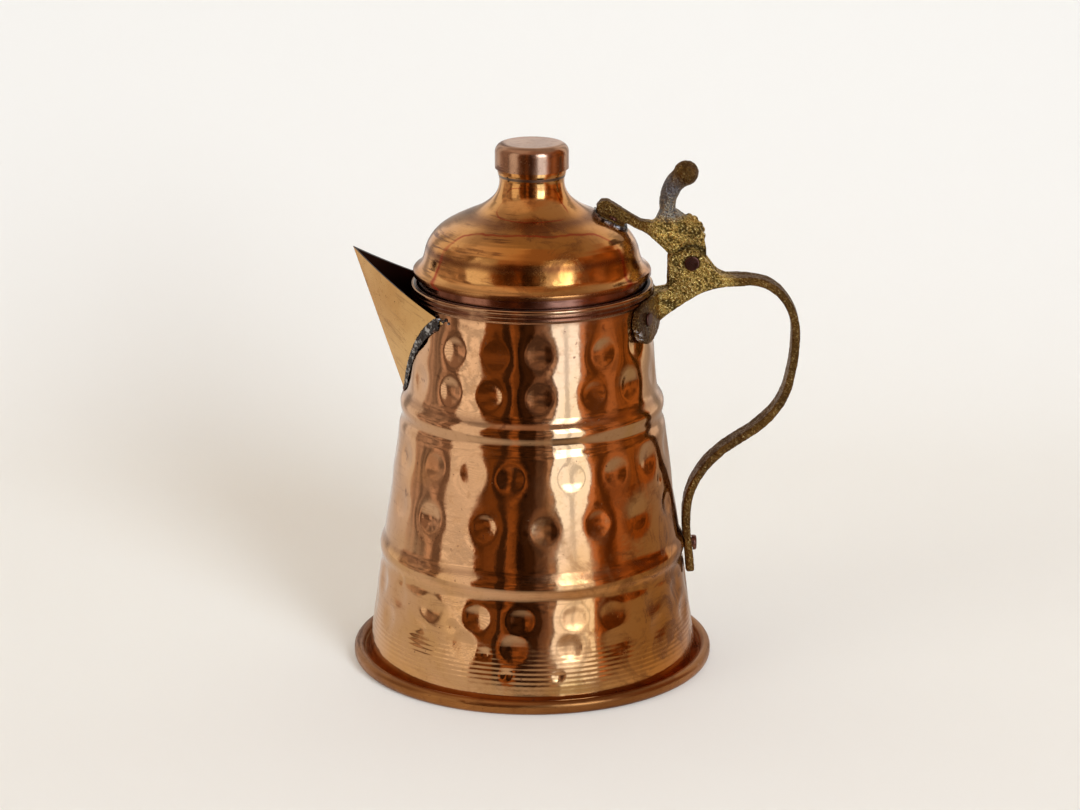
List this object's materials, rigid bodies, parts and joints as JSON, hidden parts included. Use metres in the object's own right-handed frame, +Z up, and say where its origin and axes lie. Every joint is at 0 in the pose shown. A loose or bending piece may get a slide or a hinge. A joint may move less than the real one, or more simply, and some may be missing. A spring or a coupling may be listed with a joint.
{
  "type": "coffee pot",
  "caption": "Tapered copper coffee pot with a folded beak spout, a domed lid hinged by a thumb lever, and a cast brass loop handle riveted to the side.",
  "frame": {"origin": "middle of the flat base, on the pot's axis", "axes": "+Z up along the pot's axis, -X towards the spout, +X towards the handle, Y along the hinge pin"},
  "size_m": [0.1454, 0.1178, 0.1718],
  "materials": {
    "copper_body": "polished, hammered dimples",
    "copper_base": "dull, aged",
    "copper_spout": "satin, tarnished inside",
    "copper_lid": "polished, spun",
    "copper_knob": "polished",
    "copper_sleeve": "dull, reddish",
    "copper_rivet": "dark, peened",
    "brass_handle": "rough cast, patinated",
    "brass_lever": "rough cast, patinated",
    "tin_solder": "dull grey tin"
  },
  "bodies": {
    "pot": {"body_shell": "copper_body", "base_plate": "copper_base", "spout": "copper_spout", "spout_solder": "tin_solder", "handle": "brass_handle", "wing_rivets": "copper_rivet", "foot_rivet": "copper_rivet", "hinge_pin": "copper_rivet"},
    "lid": {"lid_shell": "copper_lid", "lid_sleeve": "copper_sleeve", "lid_knob": "copper_knob", "lid_lever": "brass_lever", "lid_rivets": "copper_rivet", "lid_solder": "tin_solder"}
  },
  "joints": [
    {"name": "lid_hinge", "type": "hinge", "parent": "pot", "child": "lid", "pos_m": [0.0511, 0, 0.1333], "axis": [0, 1, 0], "range_deg": [0, 75]}
  ]
}
